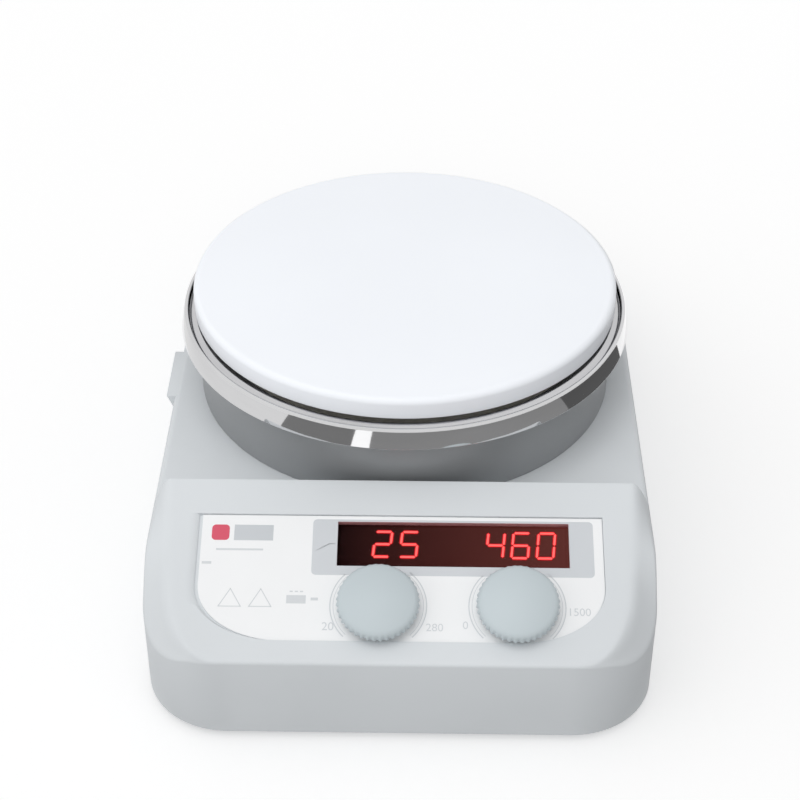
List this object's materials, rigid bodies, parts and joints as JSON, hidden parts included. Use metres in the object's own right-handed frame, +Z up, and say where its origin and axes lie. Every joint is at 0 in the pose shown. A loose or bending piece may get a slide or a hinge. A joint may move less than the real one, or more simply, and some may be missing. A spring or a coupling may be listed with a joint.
{
  "type": "heated magnetic stirrer",
  "caption": "Bench magnetic stirrer with a heated round white plate on a grey drum, a polished ring, a sloping console with red digits and push-and-turn knobs.",
  "frame": {"origin": "on the bench, under the middle of the housing (the moulded side lug makes the box 2.6 mm wider on the left)", "axes": "+X to the right as seen from the console, +Y to the back, +Z up"},
  "size_m": [0.1526, 0.258, 0.08],
  "materials": {
    "cover_abs": "fine moulded ABS, light grey",
    "panel_abs": "moulded ABS, dark grey",
    "base_abs": "moulded ABS, mid grey",
    "rubber": "soft black rubber",
    "steel_zinc": "zinc-plated steel",
    "label_silver": "satin foil, blank",
    "membrane_film": "printed polyester film",
    "window_acrylic": "dark red tinted acrylic",
    "digit_module": "black display module",
    "led_lens": "clear epoxy",
    "circuit_board": "green solder mask",
    "encoder_case": "pressed steel",
    "plunger_plastic": "moulded acetal",
    "shaft_steel": "ground steel",
    "knob_abs": "soft-touch moulded ABS, blue grey",
    "drum_paint": "satin grey paint on die-cast aluminium",
    "polished_steel": "mirror-polished stainless steel",
    "pan_steel": "pressed stainless steel",
    "ceramic_fibre": "ceramic fibre board",
    "heater_sheath": "oxidised steel tube",
    "plate_enamel": "white ceramic glaze on aluminium",
    "sensor_steel": "steel sheath",
    "cutout_phenolic": "phenolic resin",
    "bracket_steel": "zinc-plated sheet steel",
    "stator_copper": "enamelled copper on laminations",
    "bush_bronze": "sintered bronze",
    "carrier_nylon": "glass-filled nylon",
    "magnet_nickel": "nickel-plated magnet",
    "inlet_plastic": "black nylon",
    "rocker_plastic": "black polycarbonate",
    "blade_brass": "plated brass",
    "fuse_glass": "glass tube",
    "transformer_iron": "varnished laminations",
    "capacitor_sleeve": "shrink sleeve",
    "heatsink_aluminium": "extruded aluminium",
    "wire_insulation": "silicone insulation"
  },
  "bodies": {
    "housing": {"top_cover": "cover_abs", "rear_panel": "panel_abs", "base_plate": "base_abs", "rubber_feet": "rubber", "base_screws": "steel_zinc", "drum_screws": "steel_zinc", "bracket_screws": "steel_zinc", "board_screws": "steel_zinc", "stud_nuts": "steel_zinc", "encoder_nuts": "steel_zinc", "plate_studs": "steel_zinc", "rating_plate": "label_silver", "membrane_overlay": "membrane_film", "display_window": "window_acrylic", "heat_digits": "digit_module", "speed_digits": "digit_module", "status_leds": "led_lens", "display_board": "circuit_board", "power_board": "circuit_board", "heat_encoder": "encoder_case", "speed_encoder": "encoder_case", "drum_wall": "drum_paint", "trim_ring": "polished_steel", "heater_pan": "pan_steel", "insulation_disc": "ceramic_fibre", "heater_coil": "heater_sheath", "hotplate": "plate_enamel", "temperature_sensor": "sensor_steel", "thermal_cutout": "cutout_phenolic", "motor_bracket": "bracket_steel", "motor_housing": "bracket_steel", "motor_stator": "stator_copper", "motor_bushes": "bush_bronze", "inlet_housing": "inlet_plastic", "fuse_holder": "inlet_plastic", "switch_frame": "inlet_plastic", "sensor_socket": "inlet_plastic", "terminal_block": "inlet_plastic", "inlet_blades": "blade_brass", "sensor_pins": "blade_brass", "rod_insert": "blade_brass", "transformer": "transformer_iron", "capacitors": "capacitor_sleeve", "triac_heatsink": "heatsink_aluminium", "heater_leads": "wire_insulation", "mains_leads": "wire_insulation", "panel_ribbon": "wire_insulation"},
    "heat_press": {"heat_plunger": "plunger_plastic"},
    "heat_dial": {"heat_knob": "knob_abs", "heat_shaft": "shaft_steel"},
    "speed_press": {"speed_plunger": "plunger_plastic"},
    "speed_dial": {"speed_knob": "knob_abs", "speed_shaft": "shaft_steel"},
    "stir_rotor": {"motor_shaft": "shaft_steel", "motor_rotor": "bracket_steel", "magnet_carrier": "carrier_nylon", "carrier_screw": "steel_zinc", "drive_magnets": "magnet_nickel"},
    "rocker": {"power_rocker": "rocker_plastic"},
    "fuse_tray": {"fuse_drawer": "inlet_plastic", "fuses": "fuse_glass"}
  },
  "joints": [
    {"name": "stirrer_spin", "type": "hinge", "parent": "housing", "child": "stir_rotor", "pos_m": [0, -0.004, 0.03], "axis": [0, 0, 1], "continuous": true},
    {"name": "heat_knob_press", "type": "slide", "parent": "housing", "child": "heat_press", "axis": [0, 0.3665, -0.9304], "range_m": [0, 0.0006], "stiffness_N_per_m": 2500, "springref_m": -0.0006},
    {"name": "heat_knob_turn", "type": "hinge", "parent": "heat_press", "child": "heat_dial", "pos_m": [-0.006, -0.1127, 0.0366], "axis": [0, -0.3665, 0.9304], "continuous": true},
    {"name": "speed_knob_press", "type": "slide", "parent": "housing", "child": "speed_press", "axis": [0, 0.3665, -0.9304], "range_m": [0, 0.0006], "stiffness_N_per_m": 2500, "springref_m": -0.0006},
    {"name": "speed_knob_turn", "type": "hinge", "parent": "speed_press", "child": "speed_dial", "pos_m": [0.0339, -0.1127, 0.0366], "axis": [0, -0.3665, 0.9304], "continuous": true},
    {"name": "power_rocker_tilt", "type": "hinge", "parent": "housing", "child": "rocker", "pos_m": [0.0085, 0.1182, 0.0215], "axis": [1, 0, 0], "range_deg": [0, 16]},
    {"name": "fuse_drawer_slide", "type": "slide", "parent": "housing", "child": "fuse_tray", "axis": [0, 1, 0], "range_m": [0, 0.015]}
  ]
}
